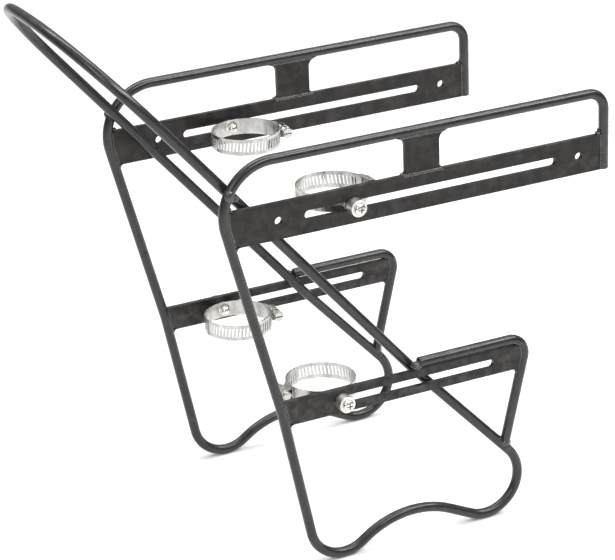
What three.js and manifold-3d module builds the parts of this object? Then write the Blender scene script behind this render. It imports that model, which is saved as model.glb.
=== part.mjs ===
// Low-rider pannier rack for a bicycle's suspension fork: two side frames of bent alloy rod and
// slotted flat bar, one hoop over the wheel, and four hose clamps that grip the fork's legs.
// Millimetres, +Z up. The hoop is at the front, towards -X. The wheel's plane is y = 0.
// Heights and lengths are counted from the top rail's rear corner; the finished group is then
// moved so that the origin is the middle of the rack's footprint, on the ground.

import * as THREE from 'three';
import { mergeVertices } from 'three/addons/utils/BufferGeometryUtils.js';
import Module from 'manifold-3d';

const wasm = await Module();
wasm.setup();

// ---- Rods and general clearances -------------------------------------------------------------
const ROD_DIAMETER = 8;
const ROD_SIDES = 12;
const ARC_STEP = THREE.MathUtils.degToRad(12);
const WELD_GAP = 0.3;
const FIT_GAP = 0.3;
const FRAME_SPACING = 214.8;

// ---- Side loop: one rod from the rear corner over the top, down the front and along the wave --
const REAR_CORNER_RADIUS = 14;
const TOP_CORNER_RADIUS = 40;
const TOP_CORNER_X = -286.5;
const FRONT_KINK = { x: TOP_CORNER_X + 0.1, z: -203 };
const LOWEST_ROD_Z = -334.6;
const FRONT_FOOT = { x: TOP_CORNER_X + 49.1, radius: 28.5 };
const HUMP = { x: -175.8, rise: 20.2, radius: 75 };
const REAR_FOOT = { x: -109.9, radius: 30 };
const SIDE_ROD_END_STRAIGHT = 2;

// ---- Hoop rod: two diagonals that join in a round hoop over the tyre -----------------------
const DIAGONAL_KINK = { x: -165.2, z: -201.1 };
const HOOP_START_STRAIGHT = 4;
const HOOP_TOP = { x: TOP_CORNER_X - 140.7, z: 104.4, cornerRadius: 90 };

// ---- Lower rail and its strut --------------------------------------------------------------
const LOWER_RAIL_FRONT_X = -168;
const LOWER_RAIL_CORNER = { x: -86.6, radius: 13.5 };
const STRUT_FOOT_ALONG_DIAGONAL = 6;

// ---- Flat bars and the tab between rail and bar --------------------------------------------
const BAR_THICKNESS = 4;
const UPPER_BAR = { z: -48.2, height: 29, slotFrontX: TOP_CORNER_X + 24.9, slotRearX: -44.5 };
const UPPER_HOLES_X = [TOP_CORNER_X + 3.6, -23.7];
const UPPER_HOLE_DIAMETER = 6.5;
const LOWER_BAR = { z: -204.6, height: 20, slotFrontX: TOP_CORNER_X + 43.5, slotRearX: -101.5 };
const LOWER_RAIL_ABOVE_BAR = 1.5;
const TAB = { frontX: -176, rearX: -147, topFlare: 7, bottomFlare: 4 };

// ---- Hose clamps and the screws that hold them in the slots -------------------------------
const CLAMP_UPPER_X = UPPER_BAR.slotFrontX + 40.6;
const CLAMP_LOWER_X = LOWER_BAR.slotFrontX + 7;
const BAND_DIAMETER = 55;
const BAND_THICKNESS = 1;
const BAND_WIDTH = 13;
const BAND_SEGMENTS = 48;
const SCREW_DIAMETER = 5;
const SLOT_CLEARANCE = 2;
const SCREW_HEAD = { overhang: 2.1, height: 3.3, recess: 1.6, recessMargin: 1.9, recessWidth: 1.2 };
const BARREL = { wall: 3.7, length: 9.5 };
const WASHER = { wall: 2.7, thickness: 3.3 };
const CAP_NUT = { wall: 1.7, height: 5.2, socketDepth: 3.2 };
const WORM = { diameter: 7.6, threadDepth: 0.6, length: 13, pitch: 2.6 };
const WORM_HEAD = { acrossFlats: 8, height: 4, neck: 1.2, slotWidth: 1.4, slotDepth: 1.6 };
const HOUSING = { wall: 0.9, length: 10.4, footWidth: 1.6 };

// ---- Finishes --------------------------------------------------------------------------------
const blackPaint = { color: 0x2b2a29, roughness: 0.42, metalness: 0.15 };
const brightSteel = { color: 0xc8c6c0, roughness: 0.3, metalness: 0.95 };

const rodRadius = ROD_DIAMETER / 2;
const frameY = FRAME_SPACING / 2;
const inboardY = frameY - ROD_DIAMETER - WELD_GAP;
const lowerRailZ = LOWER_BAR.z + LOWER_BAR.height / 2 + LOWER_RAIL_ABOVE_BAR + rodRadius;
const slotWidth = SCREW_DIAMETER + SLOT_CLEARANCE;
const screwHoleRadius = SCREW_DIAMETER / 2 + FIT_GAP;
const rack = new THREE.Group();

function addMesh(parent, name, geometry, finish) {
  const mesh = new THREE.Mesh(geometry, new THREE.MeshStandardMaterial(finish));
  mesh.name = name;
  parent.add(mesh);
  return mesh;
}

// ---- Booleans -------------------------------------------------------------------------------
function toManifold(geometry) {
  const bare = geometry.clone();
  bare.deleteAttribute('normal');
  bare.deleteAttribute('uv');
  const merged = mergeVertices(bare, 1e-4);
  return new wasm.Manifold(new wasm.Mesh({
    numProp: 3,
    vertProperties: new Float32Array(merged.attributes.position.array),
    triVerts: new Uint32Array(merged.index.array),
  }));
}

function toGeometry(solid) {
  const { vertProperties, triVerts } = solid.getMesh();
  const geometry = new THREE.BufferGeometry();
  geometry.setAttribute('position', new THREE.BufferAttribute(vertProperties, 3));
  geometry.setIndex(new THREE.BufferAttribute(triVerts, 1));
  geometry.computeVertexNormals();
  return geometry;
}

function cut(geometry, ...tools) {
  return toGeometry(tools.reduce((solid, tool) => solid.subtract(toManifold(tool)), toManifold(geometry)));
}

// ---- Rod centrelines ---------------------------------------------------------------------------
// A centreline given by its own stations, so that straight runs cost two and bends as many as
// they need. Each cross-section stands on the bisector of its two neighbours.
class Centreline extends THREE.Curve {
  constructor(stations) {
    super();
    this.stations = stations;
    this.steps = stations.length - 1;
  }
  getPoint(t, target = new THREE.Vector3()) {
    const place = THREE.MathUtils.clamp(t, 0, 1) * this.steps;
    const first = Math.min(Math.floor(place), this.steps - 1);
    return target.lerpVectors(this.stations[first], this.stations[first + 1], place - first);
  }
  getTangent(t, target = new THREE.Vector3()) {
    const here = Math.round(t * this.steps);
    target.set(0, 0, 0);
    for (const i of [here, here + 1]) {
      if (i < 1 || i > this.steps) continue;
      target.add(this.stations[i].clone().sub(this.stations[i - 1]).normalize());
    }
    return target.normalize();
  }
  getPointAt(u, target) { return this.getPoint(u, target); }
  getTangentAt(u, target) { return this.getTangent(u, target); }
}

function rod(centreline, radius = rodRadius) {
  const section = new THREE.Shape();
  section.absarc(0, 0, radius, 0, 2 * Math.PI);
  return new THREE.ExtrudeGeometry(section, {
    steps: centreline.steps, curveSegments: ROD_SIDES / 2, extrudePath: centreline,
  });
}

// A flat route in the x-z plane, like a belt run round pins: each item is a point, or a circle
// with a radius that is positive where the rod turns anticlockwise and negative where clockwise.
function beltRoute(items) {
  const headings = [];
  for (let i = 1; i < items.length; i += 1) {
    const span = new THREE.Vector2(items[i].x - items[i - 1].x, items[i].z - items[i - 1].z);
    const growth = (items[i].radius ?? 0) - (items[i - 1].radius ?? 0);
    const run = Math.sqrt(span.lengthSq() - growth * growth);
    headings.push(Math.atan2(run * span.y - growth * span.x, run * span.x + growth * span.y));
  }
  const stations = [];
  items.forEach((item, i) => {
    const arriving = headings[Math.max(i - 1, 0)];
    const leaving = headings[Math.min(i, headings.length - 1)];
    const radius = item.radius ?? 0;
    let turn = leaving - arriving;
    if (radius > 0 && turn < 0) turn += 2 * Math.PI;
    if (radius < 0 && turn > 0) turn -= 2 * Math.PI;
    const pieces = radius === 0 ? 0 : Math.max(1, Math.ceil(Math.abs(turn) / ARC_STEP));
    for (let k = 0; k <= pieces; k += 1) {
      const heading = arriving + (pieces ? (turn * k) / pieces : 0);
      stations.push({ x: item.x + radius * Math.sin(heading), z: item.z - radius * Math.cos(heading) });
    }
  });
  return stations;
}

const inPlane = (stations, y) => new Centreline(stations.map(({ x, z }) => new THREE.Vector3(x, y, z)));

// The stations that round a corner with the given radius between its neighbours.
function roundCorner(before, corner, after, radius) {
  const back = before.clone().sub(corner).normalize();
  const ahead = after.clone().sub(corner).normalize();
  const half = back.angleTo(ahead) / 2;
  const towardsCentre = back.clone().add(ahead).normalize();
  const centre = corner.clone().addScaledVector(towardsCentre, radius / Math.sin(half));
  const first = corner.clone().addScaledVector(back, radius / Math.tan(half)).sub(centre);
  const last = corner.clone().addScaledVector(ahead, radius / Math.tan(half)).sub(centre);
  const sweep = first.angleTo(last);
  const pieces = Math.ceil(sweep / ARC_STEP);
  return Array.from({ length: pieces + 1 }, (_, k) => {
    const angle = (sweep * k) / pieces;
    const weights = [Math.sin(sweep - angle) / Math.sin(sweep), Math.sin(angle) / Math.sin(sweep)];
    return centre.clone().addScaledVector(first, weights[0]).addScaledVector(last, weights[1]);
  });
}

// ---- Routes that the parts share ------------------------------------------------------------
const upperBarTopZ = UPPER_BAR.z + UPPER_BAR.height / 2;
const upperBarBottomZ = UPPER_BAR.z - UPPER_BAR.height / 2;
const sideRoute = beltRoute([
  { x: 0, z: upperBarBottomZ },
  { x: -REAR_CORNER_RADIUS, z: -REAR_CORNER_RADIUS, radius: REAR_CORNER_RADIUS },
  { x: TOP_CORNER_X, z: -TOP_CORNER_RADIUS, radius: TOP_CORNER_RADIUS },
  FRONT_KINK,
  { x: FRONT_FOOT.x, z: LOWEST_ROD_Z + FRONT_FOOT.radius, radius: FRONT_FOOT.radius },
  { x: HUMP.x, z: LOWEST_ROD_Z + HUMP.rise - HUMP.radius, radius: -HUMP.radius },
  { x: REAR_FOOT.x, z: LOWEST_ROD_Z + REAR_FOOT.radius, radius: REAR_FOOT.radius },
  DIAGONAL_KINK,
]);
const bendEnd = sideRoute.at(-2);
const jointTo = new THREE.Vector2(DIAGONAL_KINK.x - bendEnd.x, DIAGONAL_KINK.z - bendEnd.z).normalize();
const alongDiagonal = (distance) => ({
  x: bendEnd.x + jointTo.x * distance,
  z: bendEnd.z + jointTo.y * distance,
});
sideRoute[sideRoute.length - 1] = alongDiagonal(SIDE_ROD_END_STRAIGHT);
const strutFoot = alongDiagonal(STRUT_FOOT_ALONG_DIAGONAL);
const lowerRoute = beltRoute([
  { x: LOWER_RAIL_FRONT_X, z: lowerRailZ },
  { x: LOWER_RAIL_CORNER.x, z: lowerRailZ - LOWER_RAIL_CORNER.radius, radius: -LOWER_RAIL_CORNER.radius },
  strutFoot,
]);

const diagonalPoint = (distance, y) => {
  const { x, z } = alongDiagonal(distance);
  return new THREE.Vector3(x, y, z);
};
const hoopHalf = (side) => [
  diagonalPoint(SIDE_ROD_END_STRAIGHT + WELD_GAP, side * frameY),
  diagonalPoint(SIDE_ROD_END_STRAIGHT + HOOP_START_STRAIGHT, side * frameY),
  new THREE.Vector3(DIAGONAL_KINK.x, side * inboardY, DIAGONAL_KINK.z),
];
const hoopTurn = (side) => {
  const corner = new THREE.Vector3(HOOP_TOP.x, side * inboardY, HOOP_TOP.z);
  const middle = new THREE.Vector3(HOOP_TOP.x, 0, HOOP_TOP.z);
  return roundCorner(hoopHalf(side).at(-1), corner, middle, HOOP_TOP.cornerRadius);
};
const hoopLine = new Centreline([
  ...hoopHalf(-1), ...hoopTurn(-1), ...hoopTurn(1).reverse(), ...hoopHalf(1).reverse(),
]);

// ---- Flat plates: an outline in x-z, pushed to its thickness about the frame's plane -----------
function plate(outline, thickness, y) {
  const geometry = new THREE.ExtrudeGeometry(outline, {
    depth: thickness, bevelEnabled: false, curveSegments: 6,
  });
  return geometry.rotateX(Math.PI / 2).translate(0, y + thickness / 2, 0);
}

function slotPath(frontX, rearX, z, width) {
  const r = width / 2;
  const path = new THREE.Path();
  path.absarc(frontX + r, z, r, Math.PI / 2, (3 * Math.PI) / 2);
  path.absarc(rearX - r, z, r, -Math.PI / 2, Math.PI / 2);
  return path;
}

function holePath(x, z, diameter) {
  const path = new THREE.Path();
  path.absarc(x, z, diameter / 2, 0, 2 * Math.PI);
  return path;
}

// The stretch of a route that falls from one height to another, ends included.
function fallingRun(route, topZ, bottomZ) {
  const crossing = (z) => {
    const i = route.findIndex((s, k) => k > 0 && s.z <= z && route[k - 1].z > z);
    const [a, b] = [route[i - 1], route[i]];
    return { index: i, x: a.x + ((b.x - a.x) * (z - a.z)) / (b.z - a.z), z };
  };
  const [first, last] = [crossing(topZ), crossing(bottomZ)];
  return [first, ...route.slice(first.index, last.index), last];
}

function slottedBar({ z, height, slotFrontX, slotRearX }, rearEdge) {
  const frontEdge = fallingRun(sideRoute, z + height / 2, z - height / 2);
  const outline = new THREE.Shape();
  outline.setFromPoints([...frontEdge, ...rearEdge.reverse()].map((s) => new THREE.Vector2(s.x, s.z)));
  outline.holes.push(slotPath(slotFrontX, slotRearX, z, slotWidth));
  return outline;
}

function tabOutline() {
  const top = -rodRadius;
  const bottom = upperBarTopZ + WELD_GAP;
  const { frontX, rearX, topFlare, bottomFlare } = TAB;
  const outline = new THREE.Shape();
  outline.moveTo(frontX - bottomFlare, bottom);
  outline.lineTo(rearX + bottomFlare, bottom);
  outline.absarc(rearX + bottomFlare, bottom + bottomFlare, bottomFlare, -Math.PI / 2, -Math.PI, true);
  outline.absarc(rearX + topFlare, top - topFlare, topFlare, Math.PI, Math.PI / 2, true);
  outline.lineTo(rearX + topFlare, 0);
  outline.lineTo(frontX - topFlare, 0);
  outline.lineTo(frontX - topFlare, top);
  outline.absarc(frontX - topFlare, top - topFlare, topFlare, Math.PI / 2, 0, true);
  outline.absarc(frontX - bottomFlare, bottom + bottomFlare, bottomFlare, 0, -Math.PI / 2, true);
  return outline;
}

// ---- Frame ----------------------------------------------------------------------------------
addMesh(rack, 'hoop_rod', rod(hoopLine), blackPaint);

function addSideFrame(sideName, side) {
  const y = side * frameY;
  const sideLine = inPlane(sideRoute, y);
  const lowerLine = inPlane(lowerRoute, y);
  const nearSideRod = rod(sideLine, rodRadius + WELD_GAP);
  const nearLowerRail = rod(lowerLine, rodRadius + WELD_GAP);
  const nearHoopRod = rod(hoopLine, rodRadius + WELD_GAP);
  const hoopStart = alongDiagonal(SIDE_ROD_END_STRAIGHT + HOOP_START_STRAIGHT);
  const nearButtJoint = rod(inPlane([bendEnd, hoopStart], y), rodRadius + WELD_GAP);

  addMesh(rack, `${sideName}_side_rod`, rod(sideLine), blackPaint);
  const lowerRail = cut(rod(lowerLine), nearHoopRod, nearSideRod, nearButtJoint);
  addMesh(rack, `${sideName}_lower_rail`, lowerRail, blackPaint);

  const upper = slottedBar(UPPER_BAR, [{ x: 0, z: upperBarTopZ }, { x: 0, z: upperBarBottomZ }]);
  UPPER_HOLES_X.forEach((x) => upper.holes.push(holePath(x, UPPER_BAR.z, UPPER_HOLE_DIAMETER)));
  addMesh(rack, `${sideName}_upper_bar`, cut(plate(upper, BAR_THICKNESS, y), nearSideRod), blackPaint);

  const halfHeight = LOWER_BAR.height / 2;
  const strutRun = fallingRun(lowerRoute, LOWER_BAR.z + halfHeight, LOWER_BAR.z - halfHeight);
  const lowerPlate = plate(slottedBar(LOWER_BAR, strutRun), BAR_THICKNESS, y);
  const lower = cut(lowerPlate, nearSideRod, nearLowerRail, nearHoopRod);
  addMesh(rack, `${sideName}_lower_bar`, lower, blackPaint);

  addMesh(rack, `${sideName}_rail_tab`, cut(plate(tabOutline(), BAR_THICKNESS, y), nearSideRod), blackPaint);
}

// ---- Clamps ---------------------------------------------------------------------------------
// A clamp is built round its band's centre, with the band's axis along z and the screw that
// holds it to the bar along +y. The worm's housing is towards +x.
const bandRadius = BAND_DIAMETER / 2;
const bandInner = bandRadius - BAND_THICKNESS;
const washerStart = bandRadius + FIT_GAP;
const barInner = washerStart + WASHER.thickness + FIT_GAP;
const barrelStart = barInner + BAR_THICKNESS + FIT_GAP;
const headStart = barrelStart + BARREL.length + FIT_GAP;
const nutRadius = screwHoleRadius + CAP_NUT.wall;
const nutStart = Math.sqrt(bandInner ** 2 - nutRadius ** 2) - FIT_GAP;
const wormAxisX = bandRadius + FIT_GAP + WORM.diameter / 2 + FIT_GAP;

// A body turned about the screw's axis: the profile is [radius, distance along +y].
function turned(profile, segments = 20) {
  return new THREE.LatheGeometry(profile.map(([r, y]) => new THREE.Vector2(r, y)), segments);
}

const box = (x, y, z) => new THREE.BoxGeometry(x, y, z);

// A spacer that slides on the screw's shank.
function sleeve(wall, start, length) {
  const [inner, outer] = [screwHoleRadius, screwHoleRadius + wall];
  const end = start + length;
  return turned([[inner, start], [outer, start], [outer, end], [inner, end], [inner, start]]);
}

function bandGeometry() {
  const outline = new THREE.Shape();
  outline.absarc(0, 0, bandRadius, 0, 2 * Math.PI);
  const inside = new THREE.Path();
  inside.absarc(0, 0, bandInner, 0, 2 * Math.PI);
  outline.holes.push(inside);
  const ring = new THREE.ExtrudeGeometry(outline, {
    depth: BAND_WIDTH, bevelEnabled: false, curveSegments: BAND_SEGMENTS / 2,
  }).translate(0, 0, -BAND_WIDTH / 2);
  const drill = new THREE.CylinderGeometry(screwHoleRadius, screwHoleRadius, BAND_DIAMETER, 16);
  return cut(ring, drill.translate(0, bandRadius, 0));
}

// An arch that covers the worm, standing on two feet on the band's outer face.
function housingGeometry() {
  const inner = WORM.diameter / 2 + FIT_GAP;
  const outer = inner + HOUSING.wall;
  const foot = bandRadius + FIT_GAP - wormAxisX;
  const outline = new THREE.Shape();
  outline.moveTo(foot, -inner);
  outline.lineTo(foot, -outer - HOUSING.footWidth);
  outline.lineTo(foot + HOUSING.wall, -outer - HOUSING.footWidth);
  outline.lineTo(foot + HOUSING.wall, -outer);
  outline.lineTo(0, -outer);
  outline.absarc(0, 0, outer, -Math.PI / 2, Math.PI / 2);
  outline.lineTo(foot + HOUSING.wall, outer);
  outline.lineTo(foot + HOUSING.wall, outer + HOUSING.footWidth);
  outline.lineTo(foot, outer + HOUSING.footWidth);
  outline.lineTo(foot, inner);
  outline.lineTo(0, inner);
  outline.absarc(0, 0, inner, Math.PI / 2, -Math.PI / 2, true);
  outline.closePath();
  const arch = new THREE.ExtrudeGeometry(outline, {
    depth: HOUSING.length, bevelEnabled: false, curveSegments: 6,
  });
  return arch.rotateX(Math.PI / 2).translate(wormAxisX, HOUSING.length / 2, 0);
}

// The worm lies along y with its hexagon head towards -y, clear of the housing's end.
function wormGeometry() {
  const crest = WORM.diameter / 2;
  const root = crest - WORM.threadDepth;
  const threads = Math.floor(WORM.length / WORM.pitch);
  const start = -WORM.length / 2;
  const profile = [[0, start], [root, start]];
  for (let i = 0; i < threads; i += 1) {
    const y = start + WORM.pitch * (i + 0.25);
    profile.push([root, y], [crest, y + WORM.pitch * 0.2]);
    profile.push([crest, y + WORM.pitch * 0.4], [root, y + WORM.pitch * 0.6]);
  }
  profile.push([root, -start], [0, -start]);
  const hexRadius = WORM_HEAD.acrossFlats / Math.sqrt(3);
  const headY = start - WORM_HEAD.neck;
  const neck = turned([[0, headY], [root * 0.9, headY], [root * 0.9, start + 0.5], [0, start + 0.5]], 16);
  const head = new THREE.CylinderGeometry(hexRadius, hexRadius, WORM_HEAD.height, 6);
  head.translate(0, headY - WORM_HEAD.height / 2 + 0.01, 0);
  const slot = box(WORM_HEAD.acrossFlats * 2, WORM_HEAD.slotDepth * 2, WORM_HEAD.slotWidth);
  slot.translate(0, headY - WORM_HEAD.height, 0);
  const joined = toManifold(turned(profile, 16)).add(toManifold(neck)).add(toManifold(head));
  return toGeometry(joined.subtract(toManifold(slot))).translate(wormAxisX, 0, 0);
}

function mountingScrewGeometry() {
  const shank = SCREW_DIAMETER / 2;
  const head = shank + SCREW_HEAD.overhang;
  const recessSpan = 2 * (head - SCREW_HEAD.recessMargin);
  const tip = nutStart - CAP_NUT.socketDepth + FIT_GAP;
  const top = headStart + SCREW_HEAD.height;
  const body = turned([
    [0, tip], [shank, tip], [shank, headStart], [head, headStart],
    [head, headStart + SCREW_HEAD.height * 0.4], [head * 0.85, headStart + SCREW_HEAD.height * 0.75],
    [head * 0.5, top], [0, top],
  ]);
  const bar = box(recessSpan, SCREW_HEAD.recess * 2, SCREW_HEAD.recessWidth).translate(0, top, 0);
  const cross = box(SCREW_HEAD.recessWidth, SCREW_HEAD.recess * 2, recessSpan).translate(0, top, 0);
  return cut(body, bar, cross);
}

function capNutGeometry() {
  const [outer, socket] = [nutRadius, screwHoleRadius];
  const crown = nutStart - CAP_NUT.height;
  const depth = nutStart - CAP_NUT.socketDepth;
  return turned([
    [0, crown], [outer * 0.5, crown + CAP_NUT.height * 0.1], [outer * 0.87, crown + CAP_NUT.height * 0.35],
    [outer, crown + CAP_NUT.height * 0.7], [outer, nutStart], [socket, nutStart], [socket, depth], [0, depth],
  ]);
}

function addClamp(name, side, x, z, flipped) {
  const seat = new THREE.Group();
  seat.position.set(x, side * (frameY - BAR_THICKNESS / 2 - barInner), z);
  seat.rotation.z = side < 0 ? Math.PI : 0;
  rack.add(seat);
  const ring = new THREE.Group();
  ring.rotation.y = flipped ? Math.PI : 0;
  seat.add(ring);
  addMesh(ring, `${name}_band`, bandGeometry(), brightSteel);
  addMesh(ring, `${name}_worm_housing`, housingGeometry(), brightSteel);
  addMesh(ring, `${name}_worm_screw`, wormGeometry(), brightSteel);
  addMesh(seat, `${name}_cap_nut`, capNutGeometry(), brightSteel);
  const washer = sleeve(WASHER.wall, washerStart, WASHER.thickness);
  addMesh(seat, `${name}_inner_washer`, washer, brightSteel);
  const barrel = sleeve(BARREL.wall, barrelStart, BARREL.length);
  addMesh(seat, `${name}_barrel_spacer`, barrel, brightSteel);
  addMesh(seat, `${name}_mounting_screw`, mountingScrewGeometry(), brightSteel);
}

for (const [sideName, side] of [['left', -1], ['right', 1]]) {
  addSideFrame(sideName, side);
  addClamp(`${sideName}_upper_clamp`, side, CLAMP_UPPER_X, UPPER_BAR.z, side < 0);
  addClamp(`${sideName}_lower_clamp`, side, CLAMP_LOWER_X, LOWER_BAR.z, false);
}

rack.updateMatrixWorld(true);
const extent = new THREE.Box3().setFromObject(rack, true);
rack.position.set(-(extent.min.x + extent.max.x) / 2, 0, -extent.min.z);

export default rack;
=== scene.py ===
from math import atan2, ceil, cos, pi, radians, sin, sqrt, tan

import bmesh
import bpy
from mathutils import Matrix, Vector, noise


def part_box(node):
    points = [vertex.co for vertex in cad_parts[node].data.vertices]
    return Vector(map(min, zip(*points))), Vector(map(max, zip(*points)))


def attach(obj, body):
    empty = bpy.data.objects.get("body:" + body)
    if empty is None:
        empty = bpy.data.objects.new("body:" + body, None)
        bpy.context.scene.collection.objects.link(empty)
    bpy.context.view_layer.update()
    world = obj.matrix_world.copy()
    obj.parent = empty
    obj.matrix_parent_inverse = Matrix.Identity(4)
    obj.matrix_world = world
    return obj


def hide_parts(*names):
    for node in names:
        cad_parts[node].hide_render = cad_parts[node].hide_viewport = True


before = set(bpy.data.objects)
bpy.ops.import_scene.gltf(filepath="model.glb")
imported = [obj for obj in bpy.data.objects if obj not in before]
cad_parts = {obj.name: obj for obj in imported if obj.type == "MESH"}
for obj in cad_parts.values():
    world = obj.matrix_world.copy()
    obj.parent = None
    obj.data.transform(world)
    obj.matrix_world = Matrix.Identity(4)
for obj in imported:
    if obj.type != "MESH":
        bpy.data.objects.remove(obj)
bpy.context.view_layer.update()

# ---- Where things are ------------------------------------------------------------------------
# The shapes below are worked out in millimetres from the top rail's rear corner, as a maker
# would measure them: x runs rearwards, y to the bicycle's right, z up. MAKER_TO_ROW turns those
# places into the frame's metres.
MM = 0.001
ROD_RADIUS = 4.0
side_rod_low, side_rod_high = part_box("left_side_rod")
MAKER_TO_ROW = Matrix.Translation((
    side_rod_high.x - ROD_RADIUS * MM, 0, side_rod_high.z - ROD_RADIUS * MM,
)) @ Matrix.Scale(MM, 4)

bar_low, bar_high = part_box("right_upper_bar")
FRAME_Y = (bar_low.y + bar_high.y) / 2 / MM
WELD_GAP = 0.3
INBOARD_Y = FRAME_Y - 2 * ROD_RADIUS - WELD_GAP
SIDES = (("left", -1), ("right", 1))

# ---- Rod routes ------------------------------------------------------------------------------
REAR_CORNER_RADIUS = 14
TOP_CORNER_RADIUS = 40
TOP_CORNER_X = -286.5
FRONT_KINK = (-286.4, -203)
LOWEST_ROD_Z = -334.6
FRONT_FOOT_X, FRONT_FOOT_RADIUS = -237.4, 28.5
HUMP_X, HUMP_TOP_Z, HUMP_RADIUS = -175.8, -314.4, 75
REAR_FOOT_X, REAR_FOOT_RADIUS = -109.9, 30
SIDE_ROD_END_STRAIGHT = 2
DIAGONAL_KINK = (-165.2, -201.1)
HOOP_START_STRAIGHT = 4
HOOP_TOP_X, HOOP_TOP_Z, HOOP_RADIUS = -427.2, 104.4, 90
LOWER_RAIL_Z = -189.1
LOWER_RAIL_FRONT_X = -168
LOWER_RAIL_CORNER_X, LOWER_RAIL_CORNER_RADIUS = -86.6, 13.5
STRUT_FOOT_ALONG_DIAGONAL = 6
KINK_RADIUS = 60
ARC_STEP = radians(4)

# ---- Bars and tab ----------------------------------------------------------------------------
BAR_THICKNESS = 4
BAR_EDGE_RADIUS = 0.45
BAR_INTO_ROD = 1.5
UPPER_BAR_Z, UPPER_BAR_HEIGHT = -48.2, 29
UPPER_SLOT = (-261.6, -44.5)
UPPER_HOLES_X = (-282.9, -23.7)
UPPER_HOLE_RADIUS = 3.25
LOWER_BAR_Z, LOWER_BAR_HEIGHT = -204.6, 20
LOWER_SLOT = (-243, -101.5)
LOWER_WEB = 4.5
SLOT_WIDTH = 7
TAB_FRONT_X, TAB_REAR_X = -176, -147
TAB_TOP_FLARE, TAB_BOTTOM_FLARE = 7, 4

# ---- Welds -----------------------------------------------------------------------------------
BEAD_STEP = 0.35
BEAD_SCALE = 1.9
SEAM_TO_ROD_CENTRE = 3.6
FILLET_HALF_WIDTH = 1.5
HOOP_WELD, HOOP_WELD_TOE = (-322.4, 4.1, -20.8), (-317.4, 3.8, -23.4)
RAIL_END_WELD, RAIL_END_WELD_TOE = (-171.0, 2.6, LOWER_RAIL_Z - 1.4), (-167.4, -0.8, LOWER_RAIL_Z - 3.8)

# ---- Clamps ----------------------------------------------------------------------------------
CLAMP_X = {"upper": -221, "lower": -236}
CLAMP_Z = {"upper": UPPER_BAR_Z, "lower": LOWER_BAR_Z}
BAND_RADIUS = 27.5
BAND_THICKNESS = 0.8
BAND_WIDTH = 13
BAND_SLOT_LENGTH = 7.6
BAND_SLOT_SHARE = 0.43
BAND_SLOT_COUNT = 33
BAND_SLOT_SLANT = tan(radians(8))
SLOTS_START, SLOTS_END = 138, 346
SLOT_PITCH = (SLOTS_END - SLOTS_START) / BAND_SLOT_COUNT
TAIL_SLOT_COUNT = 9
FIT_GAP = 0.3
WASHER_RADIUS, WASHER_THICKNESS = 5.5, 3.3
BARREL_RADIUS, BARREL_LENGTH = 6.5, 9.5
SCREW_RADIUS, SCREW_HEAD_RADIUS, SCREW_HEAD_HEIGHT = 2.5, 4.6, 3.3
NUT_RADIUS, NUT_HEIGHT = 4.5, 5.2
WORM_CREST, WORM_ROOT, WORM_LENGTH, WORM_PITCH = 3.8, 3.1, 13, 2.6
WORM_HEAD_ACROSS_FLATS, WORM_HEAD_HEIGHT, WORM_NECK = 8, 4, 1.2
HOUSING_WALL, HOUSING_LENGTH, HOUSING_FOOT = 0.9, 10.4, 1.6

BAR_INNER_FACE = BAND_RADIUS + FIT_GAP + WASHER_THICKNESS + FIT_GAP
WORM_X = BAND_RADIUS + FIT_GAP + WORM_CREST + FIT_GAP
NUT_SEAT = sqrt((BAND_RADIUS - 1) ** 2 - NUT_RADIUS ** 2) - FIT_GAP


# ---- Mesh helpers ----------------------------------------------------------------------------
def piece(name, mesh, body, finish, stands_for=(), sharp=35, bevel=0.0):
    """Turns a mesh in the maker's millimetres into a shown piece that rides on a body."""
    mesh.transform(MAKER_TO_ROW)
    mesh.name = name
    mesh.shade_smooth()
    mesh.set_sharp_from_angle(angle=radians(sharp))
    made = bpy.data.objects.new(name, mesh)
    bpy.context.scene.collection.objects.link(made)
    mesh.materials.append(finish)
    if bevel:
        rounding = made.modifiers.new("edge_rounding", "BEVEL")
        rounding.width = bevel * MM
        rounding.segments = 2
        rounding.limit_method = "ANGLE"
        rounding.angle_limit = radians(sharp)
        rounding.harden_normals = True
    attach(made, body)
    if stands_for:
        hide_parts(*stands_for)
    return made


def new_mesh(points, faces):
    mesh = bpy.data.meshes.new("part")
    mesh.from_pydata([tuple(p) for p in points], [], faces)
    return mesh


def joined(*meshes):
    """One mesh that holds all the given ones."""
    whole = bmesh.new()
    for mesh in meshes:
        whole.from_mesh(mesh)
        bpy.data.meshes.remove(mesh)
    result = bpy.data.meshes.new("part")
    whole.to_mesh(result)
    whole.free()
    return result


def carved(mesh, cutter):
    """The first mesh with the second taken out of it."""
    body = bpy.data.objects.new("body", mesh)
    tool = bpy.data.objects.new("tool", cutter)
    for each in (body, tool):
        bpy.context.scene.collection.objects.link(each)
    cut = body.modifiers.new("cut", "BOOLEAN")
    cut.operation = "DIFFERENCE"
    cut.solver = "EXACT"
    cut.object = tool
    view = bpy.context.evaluated_depsgraph_get()
    result = bpy.data.meshes.new_from_object(body.evaluated_get(view))
    for each in (body, tool):
        bpy.data.objects.remove(each)
    return result


def bridge(rings, closed_ends=True):
    """A mesh whose skin runs from each ring of points to the next."""
    sides = len(rings[0])
    faces = []
    for i in range(len(rings) - 1):
        for k in range(sides):
            after = (k + 1) % sides
            faces.append((i * sides + k, i * sides + after, (i + 1) * sides + after, (i + 1) * sides + k))
    if closed_ends:
        last = (len(rings) - 1) * sides
        faces.append(tuple(reversed(range(sides))))
        faces.append(tuple(range(last, last + sides)))
    return new_mesh([p for ring in rings for p in ring], faces)


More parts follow.
